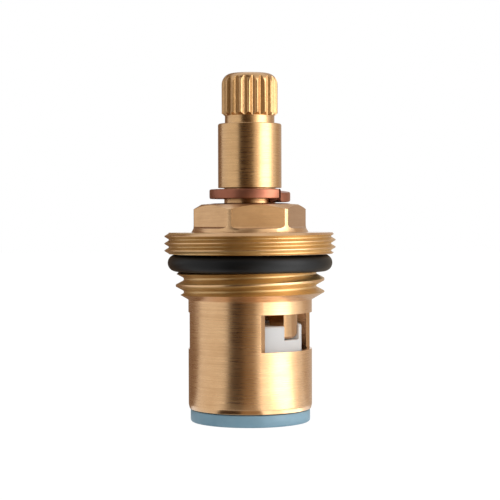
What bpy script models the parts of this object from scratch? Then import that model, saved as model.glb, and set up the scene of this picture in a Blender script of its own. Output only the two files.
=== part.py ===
"""Ceramic disc tap cartridge: a quarter-turn valve insert turned from brass.

Run it with blender --background --python part.py, or from Blender's text editor.

Metres, +Z up. The origin is the centre of the seat seal's bottom face and the spindle's axis is the
Z axis. A bearing of 0 degrees faces the front, -Y, and bearings grow counter-clockwise seen from
above, so 90 degrees faces +X. Heights are worked out from the bottom of the seal upwards. The
cartridge is drawn closed, and the spindle opens it by turning counter-clockwise.
"""

import math

import bmesh
import bpy
from mathutils import Matrix, Vector
from mathutils.geometry import intersect_line_line_2d

MM = 0.001

# Mesh resolution
ROUND_SIDES = 60
INNER_RING_SIDES = 40
CORD_SIDES = 8
ARC_STEPS = 2
CROWN_STEPS = 3
WELD_DISTANCE = 0.001 * MM
SHARP_ANGLE = math.radians(30)
OVERCUT = 1.0 * MM
ROOT_OVERLAP = 0.4 * MM

# Clearances
SEAT_GAP = 0.10 * MM
RUNNING_GAP = 0.12 * MM
O_RING_GAP = 0.06 * MM
STOP_PLAY = math.radians(0.5)

# Seat seal and its stiff inner ring
SEAL_LIP_INSET = 0.125 * MM
SEAL_LIP_HEIGHT = 1.7 * MM
SEAL_LIP_ROUND = 0.3 * MM
SEAL_HEIGHT = 6.45 * MM
SEAL_BEAD_HEIGHT = 0.4 * MM
SEAL_BEAD_WIDTH = 0.9 * MM
SEAL_WALL = 1.8 * MM
SEAL_INNER_STEP = 0.5 * MM
SUPPORT_RING_WALL = 0.9 * MM
SUPPORT_RING_FOOT = 1.05 * MM
SUPPORT_RING_CHAMFER = 0.2 * MM

# Barrel of the body
BORE_DIAMETER = 16.0 * MM
BORE_LEAD = 0.25 * MM
BARREL_WALL = 0.675 * MM
BARREL_LENGTH = 15.25 * MM
BARREL_NOSE_STEP = 0.15 * MM
BARREL_NOSE_LENGTH = 0.6 * MM
WINDOW_OFFSET = 8.4 * MM
WINDOW_HEIGHT = 5.1 * MM
WINDOW_DISTANCE = 5.94 * MM
WINDOW_BEARING = math.radians(56.5)

# Threads, flange and hexagon of the body, each turn of a thread being a level V groove
PIPE_THREAD_STEP = 1.765 * MM
PIPE_THREAD_LENGTH = 3.9 * MM
PIPE_THREAD_LEAD_ANGLE = math.radians(30)
PIPE_THREAD_EXIT = 0.45 * MM
PIPE_THREAD_PITCH = 25.4 / 14 * MM
PIPE_THREAD_DEPTH = 1.12 * MM
PIPE_THREAD_LAND = 0.4 * MM
SEALING_GROOVE_WIDTH = 2.48 * MM
SEALING_GROOVE_DEPTH = 1.34 * MM
FLANGE_DIAMETER = 24.0 * MM
FLANGE_THICKNESS = 3.0 * MM
FLANGE_CHAMFER = 0.45 * MM
FINE_THREAD_PITCH = 1.0 * MM
FINE_THREAD_DEPTH = 0.55 * MM
FINE_THREAD_LAND = 0.2 * MM
HEX_ACROSS_FLATS = 14.0 * MM
HEX_TURNED_DIAMETER = 15.86 * MM
HEX_HEIGHT = 4.07 * MM
HEX_CHAMFER_WIDTH = 1.13 * MM
HEX_CHAMFER_ANGLE = math.radians(30.5)
HEX_CROWN_LAND = 0.525 * MM
HEX_CROWN_RISE = 0.15 * MM
HEX_FOOT_SPREAD = 0.3 * MM
HEX_FOOT_HEIGHT = 0.57 * MM
HEX_FOOT_ROUND = 0.5 * MM
HEX_CORNER_BEARING = math.radians(-21.1)

# Stem bore and the rotation stops inside the body
STEM_CLEARANCE = 0.125 * MM
STEM_BORE_LEAD = 0.3 * MM
STOP_POCKET_INSET = 0.2 * MM
STOP_LEDGE_ANGLE = math.radians(45)
TURN_ANGLE = math.radians(90)

# Ceramic discs
FIXED_DISC_PLAY = 0.2 * MM
FIXED_DISC_THICKNESS = 3.2 * MM
MOVING_DISC_PLAY = 0.8 * MM
MOVING_DISC_THICKNESS = 3.75 * MM
DISC_CHAMFER = 0.18 * MM
EAR_WIDTH = 4.0 * MM
EAR_REACH = 0.3 * MM
EAR_BEARING = math.radians(148.6)
APERTURE_INNER_RADIUS = 1.7 * MM
APERTURE_OUTER_RADIUS = 5.3 * MM
APERTURE_ANGLE = math.radians(74)
NOTCH_WIDTH = 3.6 * MM
NOTCH_DEPTH = 2.0 * MM
NOTCH_INNER_RADIUS = 4.3 * MM

# Spindle inside the body
WASHER_THICKNESS = 0.5 * MM
WASHER_WIDTH = 1.41 * MM
STOP_WING_HEIGHT = 1.5 * MM
DRIVE_PLATE_THICKNESS = 1.6 * MM
DRIVE_PLATE_GAP = 1.8 * MM
DRIVE_PLATE_CHAMFER = 0.2 * MM
PRONG_BEARING = math.radians(55)
PRONG_INSET = 0.2 * MM
PRONG_END_GAP = 0.1 * MM
PRONG_CHAMFER = 0.5 * MM
STEM_GROOVE_DEPTH = 1.3 * MM
STEM_GROOVE_WIDTH = 1.75 * MM
STEM_GROOVE_OFFSET = 2.4 * MM
STEM_GROOVE_SPACING = 4.0 * MM

# Spindle above the body
SPINDLE_DIAMETER = 8.9 * MM
CLIP_GROOVE_DEPTH = 0.85 * MM
CLIP_GROOVE_WIDTH = 2.16 * MM
SHANK_LENGTH = 9.06 * MM
SHANK_CHAMFER = 0.15 * MM
NECK_DIAMETER = 6.95 * MM
NECK_LENGTH = 1.0 * MM
SPLINE_DIAMETER = 7.85 * MM
SPLINE_LENGTH = 5.98 * MM
SPLINE_TEETH = 20
SPLINE_TOOTH_DEPTH = 0.425 * MM
SPLINE_CREST_TRIM = 0.1 * MM
SPLINE_BEARING = math.radians(2.5)
SPLINE_LOWER_CHAMFER = 0.4 * MM
SPLINE_TOP_LAND = 0.4 * MM
SPLINE_TOP_ROUND = 1.6 * MM
SCREW_HOLE_DIAMETER = 3.3 * MM
SCREW_HOLE_DEPTH = 11.0 * MM
SCREW_HOLE_TIP = 0.9 * MM
SCREW_HOLE_LEAD = 0.35 * MM

# Retaining clip, one turn of flat spring stock
CLIP_WIDTH = 1.95 * MM
CLIP_THICKNESS = 1.3 * MM
CLIP_RISE = 0.42 * MM
CLIP_GAP_ANGLE = math.radians(3.5)
CLIP_GAP_BEARING = math.radians(47)
CLIP_STEPS = 48

# Rubber rings
FLANGE_RING_SECTION = 2.4 * MM

# Heights of the stack, from the seal's bottom face up
BARREL_BOTTOM = SEAL_LIP_HEIGHT + SEAT_GAP
BARREL_TOP = BARREL_BOTTOM + BARREL_LENGTH
PIPE_THREAD_TOP = BARREL_TOP + PIPE_THREAD_LENGTH
FLANGE_BOTTOM = PIPE_THREAD_TOP + SEALING_GROOVE_WIDTH
FLANGE_TOP = FLANGE_BOTTOM + FLANGE_THICKNESS
BODY_TOP = FLANGE_TOP + HEX_HEIGHT
WINDOW_BOTTOM = BARREL_BOTTOM + WINDOW_OFFSET
FIXED_DISC_BOTTOM = SEAL_HEIGHT + SEAT_GAP
FIXED_DISC_TOP = FIXED_DISC_BOTTOM + FIXED_DISC_THICKNESS
MOVING_DISC_BOTTOM = FIXED_DISC_TOP + SEAT_GAP
MOVING_DISC_TOP = MOVING_DISC_BOTTOM + MOVING_DISC_THICKNESS
NOTCH_FLOOR = MOVING_DISC_TOP - NOTCH_DEPTH
PRONG_BOTTOM = NOTCH_FLOOR + PRONG_END_GAP
DRIVE_PLATE_BOTTOM = MOVING_DISC_TOP + DRIVE_PLATE_GAP
DRIVE_PLATE_TOP = DRIVE_PLATE_BOTTOM + DRIVE_PLATE_THICKNESS
STOP_LEDGE_BOTTOM = DRIVE_PLATE_TOP + RUNNING_GAP
SPINDLE_SHOULDER = DRIVE_PLATE_TOP + STOP_WING_HEIGHT
WASHER_BOTTOM = SPINDLE_SHOULDER + SEAT_GAP
WASHER_TOP = WASHER_BOTTOM + WASHER_THICKNESS
BORE_SHOULDER = WASHER_TOP + SEAT_GAP
STEM_GROOVE_BOTTOM = BORE_SHOULDER + STEM_GROOVE_OFFSET
SHANK_BOTTOM = BODY_TOP + CLIP_GROOVE_WIDTH
SHANK_TOP = SHANK_BOTTOM + SHANK_LENGTH
SPLINE_BOTTOM = SHANK_TOP + NECK_LENGTH
SPINDLE_TOP = SPLINE_BOTTOM + SPLINE_LENGTH

# Radii from the bore outwards: wall, thread, groove and seal lip, then what runs inside the bore
BORE_RADIUS = BORE_DIAMETER / 2
BARREL_RADIUS = BORE_RADIUS + BARREL_WALL
NOSE_RADIUS = BARREL_RADIUS - BARREL_NOSE_STEP
PIPE_THREAD_RADIUS = BARREL_RADIUS + PIPE_THREAD_STEP
SEALING_GROOVE_RADIUS = PIPE_THREAD_RADIUS - SEALING_GROOVE_DEPTH
FIXED_DISC_RADIUS = BORE_RADIUS - FIXED_DISC_PLAY
MOVING_DISC_RADIUS = BORE_RADIUS - MOVING_DISC_PLAY
EAR_RADIUS = BORE_RADIUS + EAR_REACH
STOP_POCKET_RADIUS = BORE_RADIUS - STOP_POCKET_INSET

# Radii from the spindle's stem: its bore and grooves, the clip, the washer, the hub and the stop bore
STEM_RADIUS = SPINDLE_DIAMETER / 2
STEM_BORE_RADIUS = STEM_RADIUS + STEM_CLEARANCE
STEM_GROOVE_RADIUS = STEM_RADIUS - STEM_GROOVE_DEPTH
CLIP_GROOVE_RADIUS = STEM_RADIUS - CLIP_GROOVE_DEPTH
WASHER_INNER_RADIUS = STEM_RADIUS + RUNNING_GAP
HUB_RADIUS = WASHER_INNER_RADIUS + WASHER_WIDTH
STOP_BORE_RADIUS = HUB_RADIUS + RUNNING_GAP

# Bearings of the stops: a wing leaves the ledge behind it and meets the next one at the other limit
STOP_WING_ANGLE = math.pi - TURN_ANGLE - STOP_LEDGE_ANGLE - 2 * STOP_PLAY
STOP_WING_BEARING = PRONG_BEARING + math.pi / 2
STOP_LEDGE_BEARING = STOP_WING_BEARING - (STOP_LEDGE_ANGLE + STOP_WING_ANGLE) / 2 - STOP_PLAY


def clear_scene():
    """Removes the objects of the scene that the script starts in."""
    for existing in list(bpy.data.objects):
        bpy.data.objects.remove(existing, do_unlink=True)


def new_collection(name):
    """Adds a collection to the scene."""
    collection = bpy.data.collections.new(name)
    bpy.context.scene.collection.children.link(collection)
    return collection


def new_material(name, colour, roughness, metallic=0.0):
    """Makes a Principled material from a linear colour."""
    material = bpy.data.materials.new(name)
    material.use_nodes = True
    material.diffuse_color = (*colour, 1.0)
    shader = material.node_tree.nodes["Principled BSDF"]
    shader.inputs["Base Color"].default_value = (*colour, 1.0)
    shader.inputs["Roughness"].default_value = roughness
    shader.inputs["Metallic"].default_value = metallic
    return material


def polar(radius, bearing):
    """Gives the plan point at a radius and bearing."""
    return (radius * math.sin(bearing), -radius * math.cos(bearing))


def arc(radius, start, end):
    """Gives the points of an arc about the axis, as finely divided as a turned piece."""
    steps = max(2, round(abs(end - start) / (2 * math.pi / ROUND_SIDES)))
    return [polar(radius, start + (end - start) * step / steps) for step in range(steps + 1)]


def circle(radius):
    """Gives the points of a whole circle about the axis."""
    return arc(radius, 0.0, 2 * math.pi)[:-1]


def sector(inner, outer, bearing, angle):
    """Gives the outline of a ring sector centred on a bearing."""
    start = bearing - angle / 2
    end = bearing + angle / 2
    return arc(outer, start, end) + arc(inner, end, start)


def tongue(width, inner, outer, bearing):
    """Gives the outline of a straight-sided tongue that points outwards and ends in an arc."""
    half = math.asin(width / 2 / outer)
    root = [
        (inner * math.sin(bearing) + side * width / 2 * math.cos(bearing),
         -inner * math.cos(bearing) + side * width / 2 * math.sin(bearing))
        for side in (1, -1)
    ]
    return arc(outer, bearing - half, bearing + half) + root


def quarter_round(corner_radius, corner_height, radius, start):
    """Gives the profile points of a rounded edge about its centre, running 90 degrees downwards."""
    return [
        (corner_radius + radius * math.cos(start - math.pi / 2 * step / ARC_STEPS),
         corner_height + radius * math.sin(start - math.pi / 2 * step / ARC_STEPS))
        for step in range(ARC_STEPS + 1)
    ]


def baked(obj):
    """Turns an object's evaluated shape into its mesh and drops its modifiers."""
    bpy.context.view_layer.update()
    graph = bpy.context.evaluated_depsgraph_get()
    mesh = bpy.data.meshes.new_from_object(obj.evaluated_get(graph))
    mesh.name = obj.name
    obj.modifiers.clear()
    obj.data = mesh
    return obj


def weld(mesh):
    """Joins coincident points and points every face outwards."""
    work = bmesh.new()
    work.from_mesh(mesh)
    bmesh.ops.remove_doubles(work, verts=work.verts, dist=WELD_DISTANCE)
    bmesh.ops.recalc_face_normals(work, faces=work.faces)
    work.to_mesh(mesh)
    work.free()


def turned(name, outline, collection, sides=ROUND_SIDES):
    """Turns a profile of (radius, height) points about the axis.

    The profile runs down the outer side. It either starts and ends on the axis or comes back up
    through the bore to where it started.
    """
    edges = [(index, index + 1) for index in range(len(outline) - 1)]
    if outline[0][0] > 0.0:
        edges.append((len(outline) - 1, 0))
    mesh = bpy.data.meshes.new(name)
    mesh.from_pydata([(radius, 0.0, height) for radius, height in outline], edges, [])
    obj = bpy.data.objects.new(name, mesh)
    collection.objects.link(obj)
    screw = obj.modifiers.new("turning", "SCREW")
    screw.steps = sides
    screw.render_steps = sides
    screw.use_merge_vertices = True
    screw.merge_threshold = WELD_DISTANCE
    return baked(obj)


def prism(name, outlines, bottom, top, collection):
    """Makes an upright prism from flat outlines; an outline inside another is a hole."""
    curve = bpy.data.curves.new(name, "CURVE")
    curve.dimensions = "2D"
    curve.fill_mode = "BOTH"
    curve.extrude = (top - bottom) / 2 / MM
    for outline in outlines:
        spline = curve.splines.new("POLY")
        spline.points.add(len(outline) - 1)
        spline.use_cyclic_u = True
        for point, (x, y) in zip(spline.points, outline):
            point.co = (x / MM, y / MM, 0.0, 1.0)
    guide = bpy.data.objects.new(name + "_outline", curve)
    collection.objects.link(guide)
    bpy.context.view_layer.update()
    graph = bpy.context.evaluated_depsgraph_get()
    mesh = bpy.data.meshes.new_from_object(guide.evaluated_get(graph))
    bpy.data.objects.remove(guide, do_unlink=True)
    mesh.transform(Matrix.Translation((0.0, 0.0, (bottom + top) / 2)) @ Matrix.Scale(MM, 4))
    weld(mesh)
    obj = bpy.data.objects.new(name, mesh)
    collection.objects.link(obj)
    return obj


def block(name, size, centre, bearing, collection):
    """Makes a box whose first side points along a bearing, at a place given in that turned frame."""
    work = bmesh.new()
    bmesh.ops.create_cube(work, size=1.0)
    place = (
        Matrix.Rotation(bearing - math.pi / 2, 4, "Z")
        @ Matrix.Translation(Vector(centre))
        @ Matrix.Diagonal((*size, 1.0))
    )
    bmesh.ops.transform(work, matrix=place, verts=work.verts)
    mesh = bpy.data.meshes.new(name)
    work.to_mesh(mesh)
    work.free()
    obj = bpy.data.objects.new(name, mesh)
    collection.objects.link(obj)
    return obj


def ring(name, major_radius, section_radius, height, sides, collection):
    """Makes a rubber ring of round section about the axis."""
    bpy.ops.mesh.primitive_torus_add(
        location=(0.0, 0.0, height),
        major_segments=sides,
        minor_segments=CORD_SIDES,
        major_radius=major_radius,
        minor_radius=section_radius,
    )
    obj = bpy.context.object
    obj.name = name
    obj.data.name = name
    for owner in list(obj.users_collection):
        owner.objects.unlink(obj)
    collection.objects.link(obj)
    return obj


def combine(obj, tools, operation):
    """Cuts an object with each tool in turn, or joins them on, and keeps the tools as guides."""
    for tool in tools:
        step = obj.modifiers.new(tool.name, "BOOLEAN")
        step.operation = operation
        step.solver = "EXACT"
        step.object = tool
        tool.hide_render = True
        tool.display_type = "WIRE"
    return baked(obj)


def opposed(bearing):
    """Gives a bearing and the one opposite it."""
    return (bearing, bearing + math.pi)


def crossing(outline, start, end):
    """Gives the point where a line crosses a stretch of profile."""
    for above, below in zip(outline, outline[1:]):
        point = intersect_line_line_2d(above, below, start, end)
        if point:
            return (point.x, point.y)
    raise ValueError("the line passes the profile by")


def threaded(outline, crest, depth, pitch, land, top, lowest):
    """Cuts V grooves, one pitch apart from the top down, into a profile that runs downwards."""
    root = crest - depth
    turns = max(0, math.ceil((top - lowest) / pitch - 0.5))
    for turn in range(turns):
        middle = top - (turn + 0.5) * pitch
        flank = (pitch - land) / 2
        upper = crossing(outline, (root, middle), (root + 2 * depth, middle + 2 * flank))
        lower = crossing(outline, (root, middle), (root + 2 * depth, middle - 2 * flank))
        before = [point for point in outline if point[1] > upper[1]]
        after = [point for point in outline if point[1] < lower[1]]
        outline = [*before, upper, (root, middle), lower, *after]
    return outline


def flange_profile():
    """Gives the profile of the flange's rim, with its fine thread."""
    rim = FLANGE_DIAMETER / 2
    top = FLANGE_TOP - FLANGE_CHAMFER
    bottom = FLANGE_BOTTOM + FLANGE_CHAMFER
    blank = [
        (rim - FLANGE_CHAMFER, FLANGE_TOP),
        (rim, top),
        (rim, bottom),
        (rim - FLANGE_CHAMFER, FLANGE_BOTTOM),
    ]
    return threaded(
        blank, rim, FINE_THREAD_DEPTH, FINE_THREAD_PITCH, FINE_THREAD_LAND, top, bottom
    )


def pipe_thread_profile():
    """Gives the profile of the pipe thread, whose last turn runs out in its lead."""
    crest = PIPE_THREAD_RADIUS
    slope = math.tan(PIPE_THREAD_LEAD_ANGLE)
    top = PIPE_THREAD_TOP - PIPE_THREAD_EXIT
    blank = [
        (crest - PIPE_THREAD_EXIT, PIPE_THREAD_TOP),
        (crest, top),
        (crest, BARREL_TOP + PIPE_THREAD_STEP * slope),
        (BARREL_RADIUS, BARREL_TOP),
    ]
    lowest = BARREL_TOP + (PIPE_THREAD_STEP - PIPE_THREAD_DEPTH) * slope
    return threaded(
        blank, crest, PIPE_THREAD_DEPTH, PIPE_THREAD_PITCH, PIPE_THREAD_LAND, top, lowest
    )


def body_profile():
    """Gives the turned profile of the body."""
    hexagon = HEX_TURNED_DIAMETER / 2
    crown = STEM_BORE_RADIUS + STEM_BORE_LEAD
    rim_drop = HEX_CROWN_RISE + HEX_CHAMFER_WIDTH * math.tan(HEX_CHAMFER_ANGLE)
    return [
        (crown, BODY_TOP),
        (crown + HEX_CROWN_LAND, BODY_TOP),
        (hexagon - HEX_CHAMFER_WIDTH, BODY_TOP - HEX_CROWN_RISE),
        (hexagon, BODY_TOP - rim_drop),
        (hexagon, FLANGE_TOP + HEX_FOOT_HEIGHT),
        (hexagon + HEX_FOOT_SPREAD, FLANGE_TOP),
        *flange_profile(),
        (SEALING_GROOVE_RADIUS, FLANGE_BOTTOM),
        (SEALING_GROOVE_RADIUS, PIPE_THREAD_TOP),
        *pipe_thread_profile(),
        (BARREL_RADIUS, BARREL_BOTTOM + BARREL_NOSE_LENGTH),
        (NOSE_RADIUS, BARREL_BOTTOM),
        (BORE_RADIUS + BORE_LEAD, BARREL_BOTTOM),
        (BORE_RADIUS, BARREL_BOTTOM + BORE_LEAD),
        (BORE_RADIUS, STOP_LEDGE_BOTTOM),
        (STOP_BORE_RADIUS, STOP_LEDGE_BOTTOM),
        (STOP_BORE_RADIUS, BORE_SHOULDER),
        (STEM_BORE_RADIUS, BORE_SHOULDER),
        (STEM_BORE_RADIUS, BODY_TOP - STEM_BORE_LEAD),
    ]


def hexagon_outline():
    """Gives the corners of the spanner hexagon."""
    corner = HEX_ACROSS_FLATS / 2 / math.cos(math.pi / 6)
    return [polar(corner, HEX_CORNER_BEARING + math.pi / 3 * side) for side in range(6)]


def make_valve_body(parts, cutters):
    """Turns the body, then mills its hexagon, windows, keyways and stop pockets."""
    body = turned("valve_body", body_profile(), parts)
    hexagon = prism(
        "hexagon_cutter",
        [circle(FLANGE_DIAMETER), hexagon_outline()],
        FLANGE_TOP + HEX_FOOT_HEIGHT,
        BODY_TOP + OVERCUT,
        cutters,
    )
    bevel_lower_rim(hexagon, FLANGE_TOP + HEX_FOOT_HEIGHT, HEX_FOOT_ROUND, ARC_STEPS)
    reach = FLANGE_DIAMETER / 2
    tools = [hexagon]
    for number, bearing in enumerate(opposed(WINDOW_BEARING), start=1):
        tools.append(block(
            f"window_cutter_{number}",
            (reach, 2 * reach, WINDOW_HEIGHT),
            (WINDOW_DISTANCE + reach / 2, 0.0, WINDOW_BOTTOM + WINDOW_HEIGHT / 2),
            bearing,
            cutters,
        ))
    for number, bearing in enumerate(opposed(EAR_BEARING), start=1):
        keyway = tongue(EAR_WIDTH + 2 * SEAT_GAP, 0.0, EAR_RADIUS + SEAT_GAP, bearing)
        tools.append(prism(
            f"keyway_cutter_{number}",
            [keyway],
            BARREL_BOTTOM - OVERCUT,
            FIXED_DISC_TOP,
            cutters,
        ))
    open_angle = math.pi - STOP_LEDGE_ANGLE
    for number, bearing in enumerate(opposed(STOP_LEDGE_BEARING + math.pi / 2), start=1):
        pocket = sector(STEM_BORE_RADIUS, STOP_POCKET_RADIUS, bearing, open_angle)
        tools.append(prism(
            f"stop_pocket_cutter_{number}",
            [pocket],
            STOP_LEDGE_BOTTOM - OVERCUT,
            BORE_SHOULDER,
            cutters,
        ))
    return combine(body, tools, "DIFFERENCE")


def spindle_profile():
    """Gives the turned profile of the spindle, from the bottom of its screw hole to its foot."""
    hole = SCREW_HOLE_DIAMETER / 2
    spline = SPLINE_DIAMETER / 2
    crown = hole + SCREW_HOLE_LEAD + SPLINE_TOP_LAND
    neck = NECK_DIAMETER / 2
    plate = BORE_RADIUS - RUNNING_GAP
    crown_points = [
        (crown + (spline - crown) * math.sin(math.pi / 2 * step / CROWN_STEPS),
         SPINDLE_TOP - SPLINE_TOP_ROUND * (1 - math.cos(math.pi / 2 * step / CROWN_STEPS)))
        for step in range(CROWN_STEPS + 1)
    ]
    profile = [
        (0.0, SPINDLE_TOP - SCREW_HOLE_DEPTH),
        (hole, SPINDLE_TOP - SCREW_HOLE_DEPTH + SCREW_HOLE_TIP),
        (hole, SPINDLE_TOP - SCREW_HOLE_LEAD),
        (hole + SCREW_HOLE_LEAD, SPINDLE_TOP),
        *crown_points,
        (spline, SPLINE_BOTTOM + SPLINE_LOWER_CHAMFER),
        (neck, SPLINE_BOTTOM),
        (neck, SHANK_TOP),
        (STEM_RADIUS - SHANK_CHAMFER, SHANK_TOP),
        (STEM_RADIUS, SHANK_TOP - SHANK_CHAMFER),
        (STEM_RADIUS, SHANK_BOTTOM),
        (CLIP_GROOVE_RADIUS, SHANK_BOTTOM),
        (CLIP_GROOVE_RADIUS, BODY_TOP),
        (STEM_RADIUS, BODY_TOP),
    ]
    for groove_bottom in (STEM_GROOVE_BOTTOM + STEM_GROOVE_SPACING, STEM_GROOVE_BOTTOM):
        profile += [
            (STEM_RADIUS, groove_bottom + STEM_GROOVE_WIDTH),
            (STEM_GROOVE_RADIUS, groove_bottom + STEM_GROOVE_WIDTH),
            (STEM_GROOVE_RADIUS, groove_bottom),
            (STEM_RADIUS, groove_bottom),
        ]
    profile += [
        (STEM_RADIUS, SPINDLE_SHOULDER),
        (HUB_RADIUS, SPINDLE_SHOULDER),
        (HUB_RADIUS, DRIVE_PLATE_TOP),
        (plate, DRIVE_PLATE_TOP),
        (plate, DRIVE_PLATE_BOTTOM + DRIVE_PLATE_CHAMFER),
        (plate - DRIVE_PLATE_CHAMFER, DRIVE_PLATE_BOTTOM),
        (0.0, DRIVE_PLATE_BOTTOM),
    ]
    return profile


def spline_outline():
    """Gives the star-shaped outline of the spline teeth, whose turned crests keep a narrow land."""
    crest = SPLINE_DIAMETER / 2 + SPLINE_CREST_TRIM
    root = SPLINE_DIAMETER / 2 - SPLINE_TOOTH_DEPTH
    half_pitch = math.pi / SPLINE_TEETH
    return [
        polar(crest if step % 2 == 0 else root, SPLINE_BEARING + half_pitch * step)
        for step in range(2 * SPLINE_TEETH)
    ]


def make_spindle(parts, cutters):
    """Turns the spindle, cuts its spline, and adds the stop wings and the prongs below its plate."""
    spindle = turned("spindle", spindle_profile(), parts)
    teeth = prism(
        "spline_cutter",
        [circle(SPLINE_DIAMETER), spline_outline()],
        SPLINE_BOTTOM,
        SPINDLE_TOP + OVERCUT,
        cutters,
    )
    combine(spindle, [teeth], "DIFFERENCE")
    wing_radius = STOP_POCKET_RADIUS - RUNNING_GAP
    additions = []
    for number, bearing in enumerate(opposed(STOP_WING_BEARING), start=1):
        additions.append(prism(
            f"stop_wing_{number}",
            [sector(HUB_RADIUS - ROOT_OVERLAP, wing_radius, bearing, STOP_WING_ANGLE)],
            DRIVE_PLATE_TOP - ROOT_OVERLAP,
            SPINDLE_SHOULDER,
            cutters,
        ))
    prong_width = NOTCH_WIDTH - 2 * RUNNING_GAP
    for number, bearing in enumerate(opposed(PRONG_BEARING), start=1):
        inner = NOTCH_INNER_RADIUS + RUNNING_GAP
        prong = prism(
            f"prong_{number}",
            [tongue(prong_width, inner, MOVING_DISC_RADIUS - PRONG_INSET, bearing)],
            PRONG_BOTTOM,
            DRIVE_PLATE_BOTTOM + ROOT_OVERLAP,
            cutters,
        )
        bevel_lower_rim(prong, PRONG_BOTTOM, PRONG_CHAMFER, 1)
        additions.append(prong)
    return combine(spindle, additions, "UNION")


def bevel_lower_rim(obj, height, width, segments):
    """Bevels the rims that lie at one height, such as the end of a prong."""
    work = bmesh.new()
    work.from_mesh(obj.data)
    bmesh.ops.dissolve_limit(
        work, angle_limit=math.radians(1), verts=work.verts, edges=work.edges
    )
    rim = [
        edge for edge in work.edges
        if all(abs(vert.co.z - height) < WELD_DISTANCE for vert in edge.verts)
        and edge.calc_face_angle() > SHARP_ANGLE
    ]
    bmesh.ops.bevel(
        work, geom=rim, offset=width, segments=segments, profile=0.5, affect="EDGES"
    )
    work.to_mesh(obj.data)
    work.free()


def make_retaining_clip(parts):
    """Winds the clip's rectangular stock almost once round the spindle's groove."""
    inner = CLIP_GROOVE_RADIUS + RUNNING_GAP
    outer = inner + CLIP_WIDTH
    bottom = BODY_TOP + SEAT_GAP
    start = CLIP_GAP_BEARING + CLIP_GAP_ANGLE / 2
    corners = [
        (inner, bottom),
        (outer, bottom),
        (outer, bottom + CLIP_THICKNESS),
        (inner, bottom + CLIP_THICKNESS),
    ]
    work = bmesh.new()
    section = work.faces.new(
        [work.verts.new((*polar(radius, start), height)) for radius, height in corners]
    )
    bmesh.ops.spin(
        work,
        geom=[section, *section.edges, *section.verts],
        cent=(0.0, 0.0, 0.0),
        axis=(0.0, 0.0, 1.0),
        dvec=(0.0, 0.0, CLIP_RISE / CLIP_STEPS),
        angle=2 * math.pi - CLIP_GAP_ANGLE,
        steps=CLIP_STEPS,
    )
    bmesh.ops.remove_doubles(work, verts=work.verts, dist=WELD_DISTANCE)
    bmesh.ops.recalc_face_normals(work, faces=work.faces)
    mesh = bpy.data.meshes.new("retaining_clip")
    work.to_mesh(mesh)
    work.free()
    clip = bpy.data.objects.new("retaining_clip", mesh)
    parts.objects.link(clip)
    return clip


def make_rubber_rings(parts):
    """Makes the flange ring and the two stem rings, at their fitted size."""
    section = FLANGE_RING_SECTION / 2
    radius = SEALING_GROOVE_RADIUS + O_RING_GAP + section
    middle = (PIPE_THREAD_TOP + FLANGE_BOTTOM) / 2
    flange_ring = ring("flange_o_ring", radius, section, middle, ROUND_SIDES, parts)
    stem_root = STEM_GROOVE_RADIUS + O_RING_GAP
    stem_reach = STEM_BORE_RADIUS - O_RING_GAP
    stem_section = (stem_reach - stem_root) / 2
    lower_middle = STEM_GROOVE_BOTTOM + STEM_GROOVE_WIDTH / 2
    stem_rings = [
        ring(name, stem_root + stem_section, stem_section, height, INNER_RING_SIDES, parts)
        for name, height in (
            ("spindle_o_ring_lower", lower_middle),
            ("spindle_o_ring_upper", lower_middle + STEM_GROOVE_SPACING),
        )
    ]
    return flange_ring, stem_rings


def make_friction_washer(parts):
    """Makes the slip washer between the spindle's shoulder and the body."""
    profile = [
        (HUB_RADIUS, WASHER_TOP),
        (HUB_RADIUS, WASHER_BOTTOM),
        (WASHER_INNER_RADIUS, WASHER_BOTTOM),
        (WASHER_INNER_RADIUS, WASHER_TOP),
    ]
    return turned("friction_washer", profile, parts, INNER_RING_SIDES)


def disc_profile(radius, bottom, top):
    """Gives the profile of a ceramic disc with lightly chamfered rims."""
    return [
        (0.0, top),
        (radius - DISC_CHAMFER, top),
        (radius, top - DISC_CHAMFER),
        (radius, bottom + DISC_CHAMFER),
        (radius - DISC_CHAMFER, bottom),
        (0.0, bottom),
    ]


def aperture_cutters(prefix, bearing, bottom, top, cutters):
    """Makes the cutters of a disc's two water apertures."""
    return [
        prism(
            f"{prefix}_aperture_cutter_{number}",
            [sector(APERTURE_INNER_RADIUS, APERTURE_OUTER_RADIUS, side, APERTURE_ANGLE)],
            bottom - OVERCUT,
            top + OVERCUT,
            cutters,
        )
        for number, side in enumerate(opposed(bearing), start=1)
    ]


def make_rotating_disc(parts, cutters):
    """Makes the upper disc, whose apertures lie a quarter turn from its notches."""
    profile = disc_profile(MOVING_DISC_RADIUS, MOVING_DISC_BOTTOM, MOVING_DISC_TOP)
    disc = turned("rotating_disc", profile, parts)
    tools = aperture_cutters(
        "rotating_disc",
        PRONG_BEARING + math.pi / 2,
        MOVING_DISC_BOTTOM,
        MOVING_DISC_TOP,
        cutters,
    )
    reach = 2 * MOVING_DISC_RADIUS
    for number, bearing in enumerate(opposed(PRONG_BEARING), start=1):
        tools.append(block(
            f"notch_cutter_{number}",
            (reach, NOTCH_WIDTH, NOTCH_DEPTH + OVERCUT),
            (NOTCH_INNER_RADIUS + reach / 2, 0.0, NOTCH_FLOOR + (NOTCH_DEPTH + OVERCUT) / 2),
            bearing,
            cutters,
        ))
    return combine(disc, tools, "DIFFERENCE")


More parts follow.
